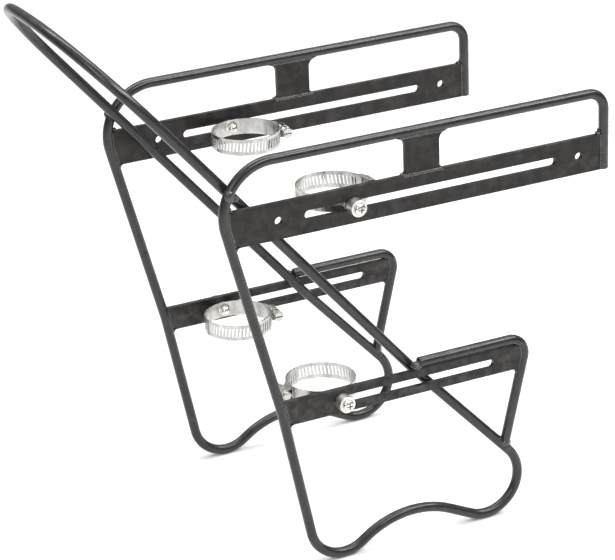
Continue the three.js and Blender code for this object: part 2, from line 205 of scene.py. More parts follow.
def tube(centres, radius, sides=20, end_round=0.7, swell=None):
    """A round rod along the centres. swell gives the share of the radius at a station."""
    tangents = [
        (centres[min(i + 1, len(centres) - 1)] - centres[max(i - 1, 0)]).normalized()
        for i in range(len(centres))
    ]
    across = Vector((0, 1, 0))
    if abs(tangents[0].dot(across)) > 0.9:
        across = Vector((1, 0, 0))
    hoops = []
    for i, (centre, along) in enumerate(zip(centres, tangents)):
        across = (across - along * across.dot(along)).normalized()
        hoops.append((centre, along, across.copy(), radius * (swell(i) if swell else 1)))
    if end_round:
        hoops = rounded_end(hoops, end_round, 1) + hoops[1:-1] + rounded_end(hoops, end_round, -1)
    rings = []
    for centre, along, across, r in hoops:
        up = along.cross(across)
        turns = [2 * pi * k / sides for k in range(sides)]
        rings.append([centre + (across * cos(t) + up * sin(t)) * r for t in turns])
    return bridge(rings)


def rounded_end(hoops, size, way):
    """The stations that round off a rod's first end (way 1) or last end (way -1)."""
    centre, along, across, radius = hoops[0] if way > 0 else hoops[-1]
    made = []
    for k in range(4):
        turn = pi / 2 * k / 3
        place = centre + along * way * size * (1 - cos(turn))
        made.append((place, along, across, radius - size + size * sin(turn)))
    return made if way > 0 else made[::-1]


def turned(profile, sides=36):
    """A body turned about the y axis: each point is (radius, y), in order of its skin."""
    rings = []
    for radius, y in profile:
        turns = [2 * pi * k / sides for k in range(sides)]
        rings.append([Vector((radius * sin(t), y, radius * cos(t))) for t in turns])
    return bridge(rings)


def pipe(inner, outer, start, end, chamfer=0.35):
    """A washer or barrel about the y axis, its outer edges chamfered."""
    profile = [
        (inner, start), (outer - chamfer, start), (outer, start + chamfer),
        (outer, end - chamfer), (outer - chamfer, end), (inner, end), (inner, start),
    ]
    sides = 40
    turns = [2 * pi * k / sides for k in range(sides)]
    rings = [[Vector((r * sin(t), y, r * cos(t))) for t in turns] for r, y in profile]
    return bridge(rings, closed_ends=False)


def flat_plate(outline, holes, thickness, y):
    """A plate in the x-z plane about the height y, with its holes cut through."""
    flat = bmesh.new()
    for ring in [outline, *holes]:
        corners = [flat.verts.new((x, y - thickness / 2, z)) for x, z in ring]
        for a, b in zip(corners, corners[1:] + corners[:1]):
            flat.edges.new((a, b))
    bmesh.ops.triangle_fill(flat, edges=flat.edges[:], use_beauty=True)
    pushed = bmesh.ops.extrude_face_region(flat, geom=flat.faces[:])
    moved = [part for part in pushed["geom"] if isinstance(part, bmesh.types.BMVert)]
    bmesh.ops.translate(flat, verts=moved, vec=(0, thickness, 0))
    bmesh.ops.recalc_face_normals(flat, faces=flat.faces[:])
    mesh = bpy.data.meshes.new("plate")
    flat.to_mesh(mesh)
    flat.free()
    return mesh


def lump(centre, size, seed, grain=0.35):
    """A cooled puddle of weld metal: a ball with uneven skin, size along x, y and z."""
    ball = bmesh.new()
    bmesh.ops.create_icosphere(ball, subdivisions=4, radius=1)
    shift = Vector((seed * 3.1, seed * 1.7, seed * 0.9))
    for corner in ball.verts:
        uneven = noise.noise(corner.co * 1.6 + shift) * grain
        fine = noise.noise(corner.co * 5 + shift) * grain * 0.25
        spot = corner.co * (1 + uneven + fine)
        corner.co = Vector(centre) + Vector((spot.x * size[0], spot.y * size[1], spot.z * size[2]))
    mesh = bpy.data.meshes.new("lump")
    ball.to_mesh(mesh)
    ball.free()
    return mesh


# ---- Routes ----------------------------------------------------------------------------------
def belt_route(items):
    """A flat route like a belt round pins: each item is (x, z) or (x, z, radius). A radius is
    positive where the rod turns anticlockwise and negative where it turns clockwise."""
    pins = [(*item, 0)[:3] for item in items]
    headings = []
    for (ax, az, ar), (bx, bz, br) in zip(pins, pins[1:]):
        dx, dz, growth = bx - ax, bz - az, br - ar
        run = sqrt(dx * dx + dz * dz - growth * growth)
        headings.append(atan2(run * dz - growth * dx, run * dx + growth * dz))
    route = []
    for i, (x, z, radius) in enumerate(pins):
        arriving = headings[max(i - 1, 0)]
        turn = headings[min(i, len(headings) - 1)] - arriving
        if radius > 0 and turn < 0:
            turn += 2 * pi
        if radius < 0 and turn > 0:
            turn -= 2 * pi
        pieces = max(1, ceil(abs(turn) / ARC_STEP)) if radius else 0
        for k in range(pieces + 1):
            heading = arriving + (turn * k / pieces if pieces else 0)
            route.append((x + radius * sin(heading), z - radius * cos(heading)))
    return route


def rounded_corner(before, corner, after, radius):
    """The points that round a corner between its two neighbours."""
    back = (before - corner).normalized()
    ahead = (after - corner).normalized()
    half = back.angle(ahead) / 2
    centre = corner + (back + ahead).normalized() * (radius / sin(half))
    first = corner + back * (radius / tan(half)) - centre
    last = corner + ahead * (radius / tan(half)) - centre
    sweep = first.angle(last)
    pieces = max(2, ceil(sweep / ARC_STEP))
    return [
        centre + (first * sin(sweep * (1 - k / pieces)) + last * sin(sweep * k / pieces)) / sin(sweep)
        for k in range(pieces + 1)
    ]


def rounded_route(points, radii):
    """A route through the points, each inner corner rounded with its own radius."""
    route = [points[0]]
    for i, radius in enumerate(radii, start=1):
        route += rounded_corner(points[i - 1], points[i], points[i + 1], radius)
    return route + [points[-1]]


def in_plane(route, y):
    return [Vector((x, y, z)) for x, z in route]


upper_bar_top = UPPER_BAR_Z + UPPER_BAR_HEIGHT / 2
upper_bar_bottom = UPPER_BAR_Z - UPPER_BAR_HEIGHT / 2
lower_bar_top = LOWER_BAR_Z + LOWER_BAR_HEIGHT / 2
lower_bar_bottom = LOWER_BAR_Z - LOWER_BAR_HEIGHT / 2

side_route = belt_route([
    (0, upper_bar_bottom),
    (-REAR_CORNER_RADIUS, -REAR_CORNER_RADIUS, REAR_CORNER_RADIUS),
    (TOP_CORNER_X, -TOP_CORNER_RADIUS, TOP_CORNER_RADIUS),
    FRONT_KINK,
    (FRONT_FOOT_X, LOWEST_ROD_Z + FRONT_FOOT_RADIUS, FRONT_FOOT_RADIUS),
    (HUMP_X, HUMP_TOP_Z - HUMP_RADIUS, -HUMP_RADIUS),
    (REAR_FOOT_X, LOWEST_ROD_Z + REAR_FOOT_RADIUS, REAR_FOOT_RADIUS),
    DIAGONAL_KINK,
])
bend_end = Vector(side_route[-2])
joint_to = (Vector(DIAGONAL_KINK) - bend_end).normalized()
rod_joint = bend_end + joint_to * SIDE_ROD_END_STRAIGHT
strut_foot = bend_end + joint_to * STRUT_FOOT_ALONG_DIAGONAL
side_route[-1] = tuple(rod_joint)
lower_route = belt_route([
    (LOWER_RAIL_FRONT_X, LOWER_RAIL_Z),
    (LOWER_RAIL_CORNER_X, LOWER_RAIL_Z - LOWER_RAIL_CORNER_RADIUS, -LOWER_RAIL_CORNER_RADIUS),
    tuple(strut_foot),
])


def hoop_centres():
    start = bend_end + joint_to * (SIDE_ROD_END_STRAIGHT + HOOP_START_STRAIGHT)
    half = lambda side: [
        Vector((rod_joint.x, side * FRAME_Y, rod_joint.y)),
        Vector((start.x, side * FRAME_Y, start.y)),
        Vector((DIAGONAL_KINK[0], side * INBOARD_Y, DIAGONAL_KINK[1])),
        Vector((HOOP_TOP_X, side * INBOARD_Y, HOOP_TOP_Z)),
    ]
    radii = [KINK_RADIUS, KINK_RADIUS, HOOP_RADIUS]
    return rounded_route([*half(-1), *half(1)[::-1]], [*radii, *radii[::-1]])


def falling_run(route, top, bottom, inset=0.0):
    """The stretch of a route that falls from one height to another, moved rearwards by inset."""
    def crossing(z):
        i = next(k for k in range(1, len(route)) if route[k][1] <= z < route[k - 1][1])
        (ax, az), (bx, bz) = route[i - 1], route[i]
        return i, (ax + (bx - ax) * (z - az) / (bz - az), z)
    first, start = crossing(top)
    last, end = crossing(bottom)
    return [(x + inset, z) for x, z in [start, *route[first:last], end]]


# ---- Finishes --------------------------------------------------------------------------------
def effect(name, inputs, outputs):
    """An empty shared effect with its sockets made."""
    group = bpy.data.node_groups.new(name, "ShaderNodeTree")
    kinds = {"value": "NodeSocketFloat", "colour": "NodeSocketColor", "vector": "NodeSocketVector"}
    for label, kind, start in inputs:
        made = group.interface.new_socket(label, in_out="INPUT", socket_type=kinds[kind])
        made.default_value = start
    for label, kind in outputs:
        group.interface.new_socket(label, in_out="OUTPUT", socket_type=kinds[kind])
    return group, group.nodes.new("NodeGroupInput"), group.nodes.new("NodeGroupOutput")


def value(tree, operation, a, b=0.0, c=0.0, clamp=False):
    """A maths node. a, b and c are numbers or sockets."""
    node = tree.nodes.new("ShaderNodeMath")
    node.operation = operation
    node.use_clamp = clamp
    for i, entry in enumerate((a, b, c)):
        if isinstance(entry, (int, float)):
            node.inputs[i].default_value = entry
        else:
            tree.links.new(entry, node.inputs[i])
    return node.outputs[0]


def speckle(tree, place, scale, detail=3.0, roughness=0.55):
    """Noise at a scale in features per metre; its output is the noise value."""
    node = tree.nodes.new("ShaderNodeTexNoise")
    node.inputs["Detail"].default_value = detail
    node.inputs["Roughness"].default_value = roughness
    tree.links.new(place, node.inputs["Vector"])
    if isinstance(scale, (int, float)):
        node.inputs["Scale"].default_value = scale
    else:
        tree.links.new(scale, node.inputs["Scale"])
    return node.outputs["Fac"]


def span(tree, entry, low, high, to_low=0.0, to_high=1.0):
    """Maps low..high to to_low..to_high, clamped."""
    node = tree.nodes.new("ShaderNodeMapRange")
    tree.links.new(entry, node.inputs["Value"])
    for label, number in (("From Min", low), ("From Max", high), ("To Min", to_low), ("To Max", to_high)):
        node.inputs[label].default_value = number
    return node.outputs["Result"]


def mixed(tree, share, first, second):
    """A colour between two: each is a colour or a socket."""
    node = tree.nodes.new("ShaderNodeMix")
    node.data_type = "RGBA"
    tree.links.new(share, node.inputs["Factor"])
    for slot, entry in ((6, first), (7, second)):
        if isinstance(entry, tuple):
            node.inputs[slot].default_value = (*entry, 1)
        else:
            tree.links.new(entry, node.inputs[slot])
    return node.outputs[2]


def object_place(tree):
    return tree.nodes.new("ShaderNodeTexCoord").outputs["Object"]


def powder_coat_effect():
    """Powder coat: a fine orange-peel height, and a slow drift in its colour and gloss."""
    group, start, end = effect(
        "powder_coat", [("Peel Scale", "value", 900.0), ("Drift Scale", "value", 25.0)],
        [("Height", "value"), ("Drift", "value")],
    )
    place = object_place(group)
    peel = speckle(group, place, start.outputs["Peel Scale"], detail=2.0)
    specks = speckle(group, place, value(group, "MULTIPLY", start.outputs["Peel Scale"], 3.1), detail=1.0)
    group.links.new(value(group, "MULTIPLY_ADD", specks, 0.35, peel), end.inputs["Height"])
    drift = speckle(group, place, start.outputs["Drift Scale"], detail=4.0)
    group.links.new(span(group, drift, 0.35, 0.65), end.inputs["Drift"])
    return group


def edge_wear_effect():
    """Where handling has polished the proud edges: 1 on an edge, 0 on the flat."""
    group, start, end = effect(
        "edge_wear", [("Amount", "value", 0.5), ("Patch Scale", "value", 120.0)], [("Mask", "value")],
    )
    proud = group.nodes.new("ShaderNodeNewGeometry").outputs["Pointiness"]
    edge = span(group, proud, 0.505, 0.56)
    patches = span(group, speckle(group, object_place(group), start.outputs["Patch Scale"]), 0.4, 0.7)
    worn = value(group, "MULTIPLY", edge, patches)
    mask = value(group, "MULTIPLY", worn, start.outputs["Amount"], clamp=True)
    group.links.new(mask, end.inputs["Mask"])
    return group


def settled_dust_effect():
    """Fine dust on what faces up."""
    group, start, end = effect(
        "settled_dust", [("Amount", "value", 0.1), ("Patch Scale", "value", 60.0)], [("Mask", "value")],
    )
    split = group.nodes.new("ShaderNodeSeparateXYZ")
    group.links.new(group.nodes.new("ShaderNodeNewGeometry").outputs["Normal"], split.inputs[0])
    facing = span(group, split.outputs["Z"], 0.55, 1.0)
    patches = span(group, speckle(group, object_place(group), start.outputs["Patch Scale"]), 0.35, 0.75)
    lying = value(group, "MULTIPLY", facing, patches)
    mask = value(group, "MULTIPLY", lying, start.outputs["Amount"], clamp=True)
    group.links.new(mask, end.inputs["Mask"])
    return group


def rolled_steel_effect():
    """Rolling and tumbling marks on bright steel: streaks drawn out along the strip."""
    group, start, end = effect(
        "rolled_steel", [("Streak Scale", "value", 600.0), ("Along", "vector", (1.0, 1.0, 0.1))],
        [("Streaks", "value"), ("Smudges", "value")],
    )
    stretched = group.nodes.new("ShaderNodeVectorMath")
    stretched.operation = "MULTIPLY"
    group.links.new(object_place(group), stretched.inputs[0])
    group.links.new(start.outputs["Along"], stretched.inputs[1])
    streaks = speckle(group, stretched.outputs[0], start.outputs["Streak Scale"], detail=4.0)
    group.links.new(streaks, end.inputs["Streaks"])
    smudges = speckle(group, object_place(group), 140.0, detail=3.0)
    group.links.new(span(group, smudges, 0.35, 0.7), end.inputs["Smudges"])
    return group


EFFECTS = {
    "coat": powder_coat_effect(), "wear": edge_wear_effect(),
    "dust": settled_dust_effect(), "rolled": rolled_steel_effect(),
}


def add_effect(tree, label, **settings):
    node = tree.nodes.new("ShaderNodeGroup")
    node.node_tree = EFFECTS[label]
    for name, number in settings.items():
        node.inputs[name.replace("_", " ").title()].default_value = number
    return node


WORN_PAINT = (0.12, 0.115, 0.11)
DUST = (0.2, 0.19, 0.175)
POLISHED_EDGE = (0.93, 0.92, 0.9)
STREAK_DEPTH = 0.00002


def finish_start(name, record_slot):
    material = bpy.data.materials.new(name)
    material.use_nodes = True
    material["record_slot"] = record_slot
    tree = material.node_tree
    return material, tree, tree.nodes["Principled BSDF"]


def black_coat(name, record_slot, colour, roughness, peel_depth, shine, peel_scale=900.0, wear=0.35):
    """Satin black powder coat over steel. shine is how strongly its face mirrors."""
    material, tree, shader = finish_start(name, record_slot)
    coat = add_effect(tree, "coat", peel_scale=peel_scale)
    wear_mask = add_effect(tree, "wear", amount=wear).outputs["Mask"]
    dust_mask = add_effect(tree, "dust", amount=0.16).outputs["Mask"]
    faded = tuple(c * 1.45 for c in colour)
    base = mixed(tree, coat.outputs["Drift"], colour, faded)
    base = mixed(tree, wear_mask, base, WORN_PAINT)
    base = mixed(tree, dust_mask, base, DUST)
    tree.links.new(base, shader.inputs["Base Color"])
    gloss = span(tree, coat.outputs["Drift"], 0, 1, roughness - 0.04, roughness + 0.05)
    dusty = value(tree, "MULTIPLY_ADD", dust_mask, 0.25, gloss, clamp=True)
    tree.links.new(dusty, shader.inputs["Roughness"])
    skin = tree.nodes.new("ShaderNodeBump")
    skin.inputs["Strength"].default_value = 0.5
    skin.inputs["Distance"].default_value = peel_depth
    tree.links.new(coat.outputs["Height"], skin.inputs["Height"])
    tree.links.new(skin.outputs["Normal"], shader.inputs["Normal"])
    shader.inputs["Specular IOR Level"].default_value = shine
    shader.inputs["Coat Weight"].default_value = shine * 0.4
    shader.inputs["Coat Roughness"].default_value = 0.22
    return material


def bright_steel(name, colour, roughness, along=(1.0, 1.0, 0.1), streak_scale=600.0):
    """Bright stainless or zinc-plated steel with rolling marks and finger smudges."""
    material, tree, shader = finish_start(name, name)
    rolled = add_effect(tree, "rolled", streak_scale=streak_scale, along=along)
    wear_mask = add_effect(tree, "wear", amount=0.5).outputs["Mask"]
    dull = tuple(c * 0.8 for c in colour)
    base = mixed(tree, rolled.outputs["Smudges"], colour, dull)
    base = mixed(tree, wear_mask, base, POLISHED_EDGE)
    tree.links.new(base, shader.inputs["Base Color"])
    shader.inputs["Metallic"].default_value = 1.0
    streaky = span(tree, rolled.outputs["Streaks"], 0.3, 0.7, roughness - 0.06, roughness + 0.08)
    smudged = value(tree, "MULTIPLY_ADD", rolled.outputs["Smudges"], 0.07, streaky, clamp=True)
    tree.links.new(smudged, shader.inputs["Roughness"])
    skin = tree.nodes.new("ShaderNodeBump")
    skin.inputs["Strength"].default_value = 0.4
    skin.inputs["Distance"].default_value = STREAK_DEPTH
    tree.links.new(rolled.outputs["Streaks"], skin.inputs["Height"])
    tree.links.new(skin.outputs["Normal"], shader.inputs["Normal"])
    return material


ROD_PAINT = black_coat("rod_paint", "rod_paint", (0.0095, 0.009, 0.0086), 0.23, 0.00003, shine=0.42)
PLATE_PAINT = black_coat(
    "plate_paint", "plate_paint", (0.0085, 0.0066, 0.0059), 0.4, 0.00005, shine=0.24, peel_scale=700.0,
)
WELD_PAINT = black_coat(
    "weld_paint", "rod_paint", (0.02, 0.0185, 0.0175), 0.2, 0.00002, shine=0.6, wear=0.6,
)
EVERY_WAY = (1.0, 1.0, 1.0)
BAND_STEEL = bright_steel("band_steel", (0.5, 0.495, 0.478), 0.23)
HOUSING_STEEL = bright_steel("housing_steel", (0.62, 0.61, 0.585), 0.2, along=(1.0, 0.15, 1.0))
WORM_STEEL = bright_steel("worm_steel", (0.5, 0.49, 0.46), 0.24, along=EVERY_WAY)
SCREW_STEEL = bright_steel("screw_steel", (0.7, 0.685, 0.64), 0.14, along=EVERY_WAY)
SPACER_STEEL = bright_steel(
    "spacer_steel", (0.8, 0.785, 0.745), 0.36, along=(0.1, 1.0, 0.1), streak_scale=1500.0,
)


# ---- Frame: rods -----------------------------------------------------------------------------
def make_rods():
    piece("hoop_tube", tube(hoop_centres(), ROD_RADIUS, sides=24), "rack_frame", ROD_PAINT, ["hoop_rod"])
    for side_name, side in SIDES:
        loop = tube(in_plane(side_route, side * FRAME_Y), ROD_RADIUS, sides=24, end_round=1.1)
        piece(f"{side_name}_side_loop", loop, "rack_frame", ROD_PAINT, [f"{side_name}_side_rod"])
        rail = tube(in_plane(lower_route, side * FRAME_Y), ROD_RADIUS, sides=24)
        piece(f"{side_name}_rail_and_strut", rail, "rack_frame", ROD_PAINT, [f"{side_name}_lower_rail"])


# ---- Frame: bars and tab ---------------------------------------------------------------------
def slot_ring(front, rear, z, width, steps=12):
    radius = width / 2
    front_end = [pi / 2 + pi * k / steps for k in range(steps + 1)]
    rear_end = [-pi / 2 + pi * k / steps for k in range(steps + 1)]
    ring = [(front + radius + radius * cos(t), z + radius * sin(t)) for t in front_end]
    return ring + [(rear - radius + radius * cos(t), z + radius * sin(t)) for t in rear_end]


def round_ring(x, z, radius, steps=28):
    turns = [2 * pi * k / steps for k in range(steps)]
    return [(x + radius * cos(t), z + radius * sin(t)) for t in turns]


def arc_points(x, z, radius, start, end, steps=8):
    turns = [radians(start + (end - start) * k / steps) for k in range(steps + 1)]
    return [(x + radius * cos(t), z + radius * sin(t)) for t in turns]


def upper_bar_mesh(side):
    front = falling_run(side_route, upper_bar_top, upper_bar_bottom, inset=ROD_RADIUS - BAR_INTO_ROD)
    rear = BAR_INTO_ROD - ROD_RADIUS
    outline = [*front, (rear, upper_bar_bottom), (rear, upper_bar_top)]
    holes = [slot_ring(*UPPER_SLOT, UPPER_BAR_Z, SLOT_WIDTH)]
    holes += [round_ring(x, UPPER_BAR_Z, UPPER_HOLE_RADIUS) for x in UPPER_HOLES_X]
    return flat_plate(outline, holes, BAR_THICKNESS, side * FRAME_Y)


def lower_bar_mesh(side):
    """The lower bar, with the small web that fills it into the strut below."""
    front = falling_run(side_route, lower_bar_top, lower_bar_bottom, inset=ROD_RADIUS - BAR_INTO_ROD)
    web_foot = lower_bar_bottom - LOWER_WEB
    rear = falling_run(lower_route, lower_bar_top, web_foot, inset=BAR_INTO_ROD - ROD_RADIUS)
    foot_x = rear[-1][0] - BAR_INTO_ROD + 0.3
    web = arc_points(foot_x - LOWER_WEB, web_foot, LOWER_WEB, 90, 0)
    outline = [*front, *web, *rear[::-1]]
    slot = slot_ring(*LOWER_SLOT, LOWER_BAR_Z, SLOT_WIDTH)
    return flat_plate(outline, [slot], BAR_THICKNESS, side * FRAME_Y)


def tab_mesh(side):
    top, bottom = -ROD_RADIUS, upper_bar_top - 0.5
    tf, bf = TAB_TOP_FLARE, TAB_BOTTOM_FLARE
    outline = [
        *arc_points(TAB_REAR_X + bf, bottom + bf, bf, 270, 180),
        *arc_points(TAB_REAR_X + tf, top - tf, tf, 180, 90),
        (TAB_REAR_X + tf, top + 1), (TAB_FRONT_X - tf, top + 1),
        *arc_points(TAB_FRONT_X - tf, top - tf, tf, 90, 0),
        *arc_points(TAB_FRONT_X - bf, bottom + bf, bf, 0, -90),
    ]
    return flat_plate(outline, [], BAR_THICKNESS, side * FRAME_Y)


def make_bars():
    for side_name, side in SIDES:
        plates = {"upper_bar": upper_bar_mesh, "lower_bar": lower_bar_mesh, "rail_tab": tab_mesh}
        for label, make_mesh in plates.items():
            name = f"{side_name}_{label}"
            piece(
                f"{name}_plate", make_mesh(side), "rack_frame", PLATE_PAINT, [name], bevel=BAR_EDGE_RADIUS,
            )


# ---- Frame: welds ----------------------------------------------------------------------------
def bead(points, radius, seed):
    """A weld bead along the points: overlapping scales of uneven size."""
    route = []
    for a, b in zip(points, points[1:]):
        count = max(1, round((b - a).length / BEAD_STEP))
        route += [a.lerp(b, k / count) for k in range(count)]
    route.append(points[-1])

    def swell(i):
        along = i * BEAD_STEP / BEAD_SCALE
        scale = 1 - 0.22 * (along % 1)
        uneven = 1 + 0.22 * noise.noise(Vector((along * 0.6, seed * 2.3, 0)))
        taper = min(1, (i + 1) / 5, (len(route) - i) / 5)
        return scale * uneven * (0.55 + 0.45 * taper)
    apart = Vector((9, 0, 0))
    drift = [Vector((noise.noise(p * 0.5), 0, noise.noise(p * 0.5 + apart))) * 0.25 for p in route]
    wander = [p + aside for p, aside in zip(route, drift)]
    return tube(wander, radius, sides=12, end_round=0.3, swell=swell)


def both_faces(route, offset):
    """The route repeated on the plate's two faces, seen from its mid-plane."""
    return [[Vector((x, way * offset, z)) for x, z in route] for way in (-1, 1)]


def seam_routes():
    """Each seam's route in the side frame's plane, and its bead's radius."""
    rod_edge = SEAM_TO_ROD_CENTRE
    yield [(-rod_edge, upper_bar_top - 0.5), (-rod_edge, upper_bar_bottom + 0.5)], 1.0
    yield falling_run(side_route, upper_bar_top - 1, upper_bar_bottom + 1, inset=rod_edge), 1.0
    yield falling_run(side_route, lower_bar_top - 1, lower_bar_bottom + 1, inset=rod_edge), 0.9
    yield falling_run(lower_route, lower_bar_top - 1, lower_bar_bottom - 1, inset=-rod_edge), 0.9
    yield [(TAB_FRONT_X - 5, -3.9), (TAB_REAR_X + 5, -3.9)], 1.3
    yield [(TAB_FRONT_X - 3, upper_bar_top - 0.2), (TAB_REAR_X + 3, upper_bar_top - 0.2)], 1.8


def collar(centre, along, radius, tube_radius, seed):
    """A bead that runs right round a rod."""
    along = along.normalized()
    across = along.cross(Vector((0, 1, 0))).normalized()
    other = along.cross(across)
    turns = [2 * pi * k / 40 for k in range(41)]
    ring = [centre + (across * cos(t) + other * sin(t)) * radius for t in turns]
    return bead(ring, tube_radius, seed)


def fillet(corner, reach, half_width):
    """The hollow-faced web of weld metal in a corner: reach is how far it runs along x and z."""
    x, z = corner
    run, rise = reach
    rings = []
    for y, size in ((-half_width - 0.5, 0.55), (-half_width, 0.85), (0, 1), (half_width, 0.85),
                    (half_width + 0.5, 0.55)):
        ring = [Vector((x - 1.6, y, z - rise * 0.2))]
        ring.append(Vector((x - 1.6, y, z + rise * size)))
        for k in range(7):
            turn = pi / 2 * k / 6
            ring.append(Vector((x + run * size * (1 - cos(turn)), y, z + rise * size * (1 - sin(turn)))))
        ring.append(Vector((x + run * size, y, z - rise * 0.2)))
        rings.append(ring)
    return bridge(rings)


def front_edge(z):
    """Where the front leg's rear edge is at a height."""
    return falling_run(side_route, z, z - 0.5, inset=ROD_RADIUS)[0][0]


def corner_welds(seed):
    """The puddles and webs where rods and bars meet, in one side frame's plane."""
    foot = Vector((strut_foot.x, 0, strut_foot.y))
    joint = Vector((rod_joint.x, 0, rod_joint.y))
    diagonal = Vector((joint_to.x, 0, joint_to.y))
    top_front = front_edge(upper_bar_top + 1)
    bottom_front = front_edge(upper_bar_bottom - 1)
    low_front = front_edge(lower_bar_bottom - 1)
    return [
        lump((-5.4, 0, upper_bar_top + 0.6), (2.2, 2.0, 1.5), seed),
        lump((-4.0, -0.6, upper_bar_top + 2.8), (1.3, 1.6, 1.8), seed + 1),
        fillet((bottom_front, upper_bar_bottom), (4.4, -6.0), FILLET_HALF_WIDTH),
        fillet((top_front, upper_bar_top), (4.2, 4.4), FILLET_HALF_WIDTH),
        fillet((low_front, lower_bar_bottom), (4.0, -5.4), FILLET_HALF_WIDTH),
        lump((top_front + 0.6, -1.2, upper_bar_top + 1.4), (1.8, 1.6, 1.5), seed + 3),
        lump(HOOP_WELD, (3.8, 2.4, 4.8), seed + 4, grain=0.14),
        lump(HOOP_WELD_TOE, (2.4, 1.8, 2.2), seed + 12, grain=0.14),
        lump(RAIL_END_WELD, (4.2, 4.3, 3.4), seed + 5, grain=0.16),
        lump(RAIL_END_WELD_TOE, (3.4, 2.6, 2.2), seed + 6),
        lump(foot + Vector((-6.0, 0, 7.6)), (3.4, 3.0, 3.6), seed + 7, grain=0.12),
        lump(foot + Vector((3.4, 0, 2.4)), (2.2, 2.6, 3.2), seed + 8),
        lump(foot + Vector((-0.6, 0, 3.2)), (4.9, 4.2, 3.0), seed + 9, grain=0.12),
        collar(joint, diagonal, ROD_RADIUS - 0.45, 0.7, seed + 11),
    ]


def make_welds():
    for side_name, side in SIDES:
        to_side = Matrix.Translation((0, side * FRAME_Y, 0)) @ Matrix.Scale(side, 4, (0, 1, 0))
        beads = []
        for number, (route, radius) in enumerate(seam_routes()):
            for face, line in enumerate(both_faces(route, BAR_THICKNESS / 2 - 0.1)):
                beads.append(bead(line, radius, number * 2 + face + (5 if side > 0 else 0)))
        mesh = joined(*beads, *corner_welds(seed=3 if side > 0 else 11))
        mesh.transform(to_side)
        if side < 0:
            mesh.flip_normals()
        piece(f"{side_name}_welds", mesh, "rack_frame", WELD_PAINT, sharp=50)


# ---- Clamps ----------------------------------------------------------------------------------
def strip(columns, rows, radius, thickness, is_open, closed):
    """A bent strip about the z axis. A column is (angle in degrees, whether it leans with the
    slots, share of the height). is_open says which cells are cut out. The outer face is at the
    radius. A closed strip joins its last column to its first."""
    points = []
    for angle, leans, share in columns:
        for z in rows:
            turn = radians(angle) + (BAND_SLOT_SLANT * z / radius if leans else 0)
            for r in (radius, radius - thickness):
                points.append(Vector((r * cos(turn), r * sin(turn), z * share)))
    levels, count = len(rows), len(columns)
    spans = count if closed else count - 1
    corner = lambda i, k, layer: ((i % count) * levels + k) * 2 + layer

    def solid(i, k):
        if closed:
            i %= spans
        return 0 <= i < spans and 0 <= k < levels - 1 and not is_open(i, k)
    faces = []
    for i in range(spans):
        for k in range(levels - 1):
            if not solid(i, k):
                continue
            rim = [(i, k), (i + 1, k), (i + 1, k + 1), (i, k + 1)]
            faces.append(tuple(corner(*c, 0) for c in rim))
            faces.append(tuple(corner(*c, 1) for c in reversed(rim)))
            beside = [(i, k - 1), (i + 1, k), (i, k + 1), (i - 1, k)]
            for a, b, cell in zip(rim, rim[1:] + rim[:1], beside):
                if not solid(*cell):
                    faces.append((corner(*a, 1), corner(*b, 1), corner(*b, 0), corner(*a, 0)))
    return new_mesh(points, faces)


def band_rows():
    return [-BAND_WIDTH / 2, -BAND_SLOT_LENGTH / 2, BAND_SLOT_LENGTH / 2, BAND_WIDTH / 2]


def slotted_columns(start, count):
    """The columns of a run of worm slots: three to a slot, and one that ends the run."""
    gap = SLOT_PITCH * (1 - BAND_SLOT_SHARE) / 2
    columns = []
    for k in range(count):
        left = start + k * SLOT_PITCH
        columns += [(left, True, 1), (left + gap, True, 1), (left + SLOT_PITCH - gap, True, 1)]
    return columns + [(start + count * SLOT_PITCH, True, 1)]


def band_mesh():
    """The band: plain from the worm housing past the screw, then slotted back to the housing."""
    slotted = slotted_columns(SLOTS_START, BAND_SLOT_COUNT)
    plain_span = SLOTS_START + 360 - SLOTS_END
    plain_count = 40
    plain = [(SLOTS_END + plain_span * k / plain_count, False, 1) for k in range(1, plain_count)]
    open_cell = lambda i, k: k == 1 and i < 3 * BAND_SLOT_COUNT and i % 3 == 1
    return strip(slotted + plain, band_rows(), BAND_RADIUS, BAND_THICKNESS, open_cell, closed=True)


def tail_mesh():
    """The free end of the band, lapped inside from the housing."""
    start = SLOTS_END - TAIL_SLOT_COUNT * SLOT_PITCH
    columns = slotted_columns(start, TAIL_SLOT_COUNT)
    tip = [(start - 3.2, True, 0.55), (start - 2.4, True, 0.8), (start - 1.2, True, 0.95)]
    lead = [(SLOTS_END + step, False, 1) for step in (3, 7, 11, 14)]
    open_cell = lambda i, k: k == 1 and 3 <= i < 3 + 3 * TAIL_SLOT_COUNT and i % 3 == 1
    radius = BAND_RADIUS - BAND_THICKNESS - 0.15
    return strip(tip + columns + lead, band_rows(), radius, BAND_THICKNESS * 0.75, open_cell, closed=False)


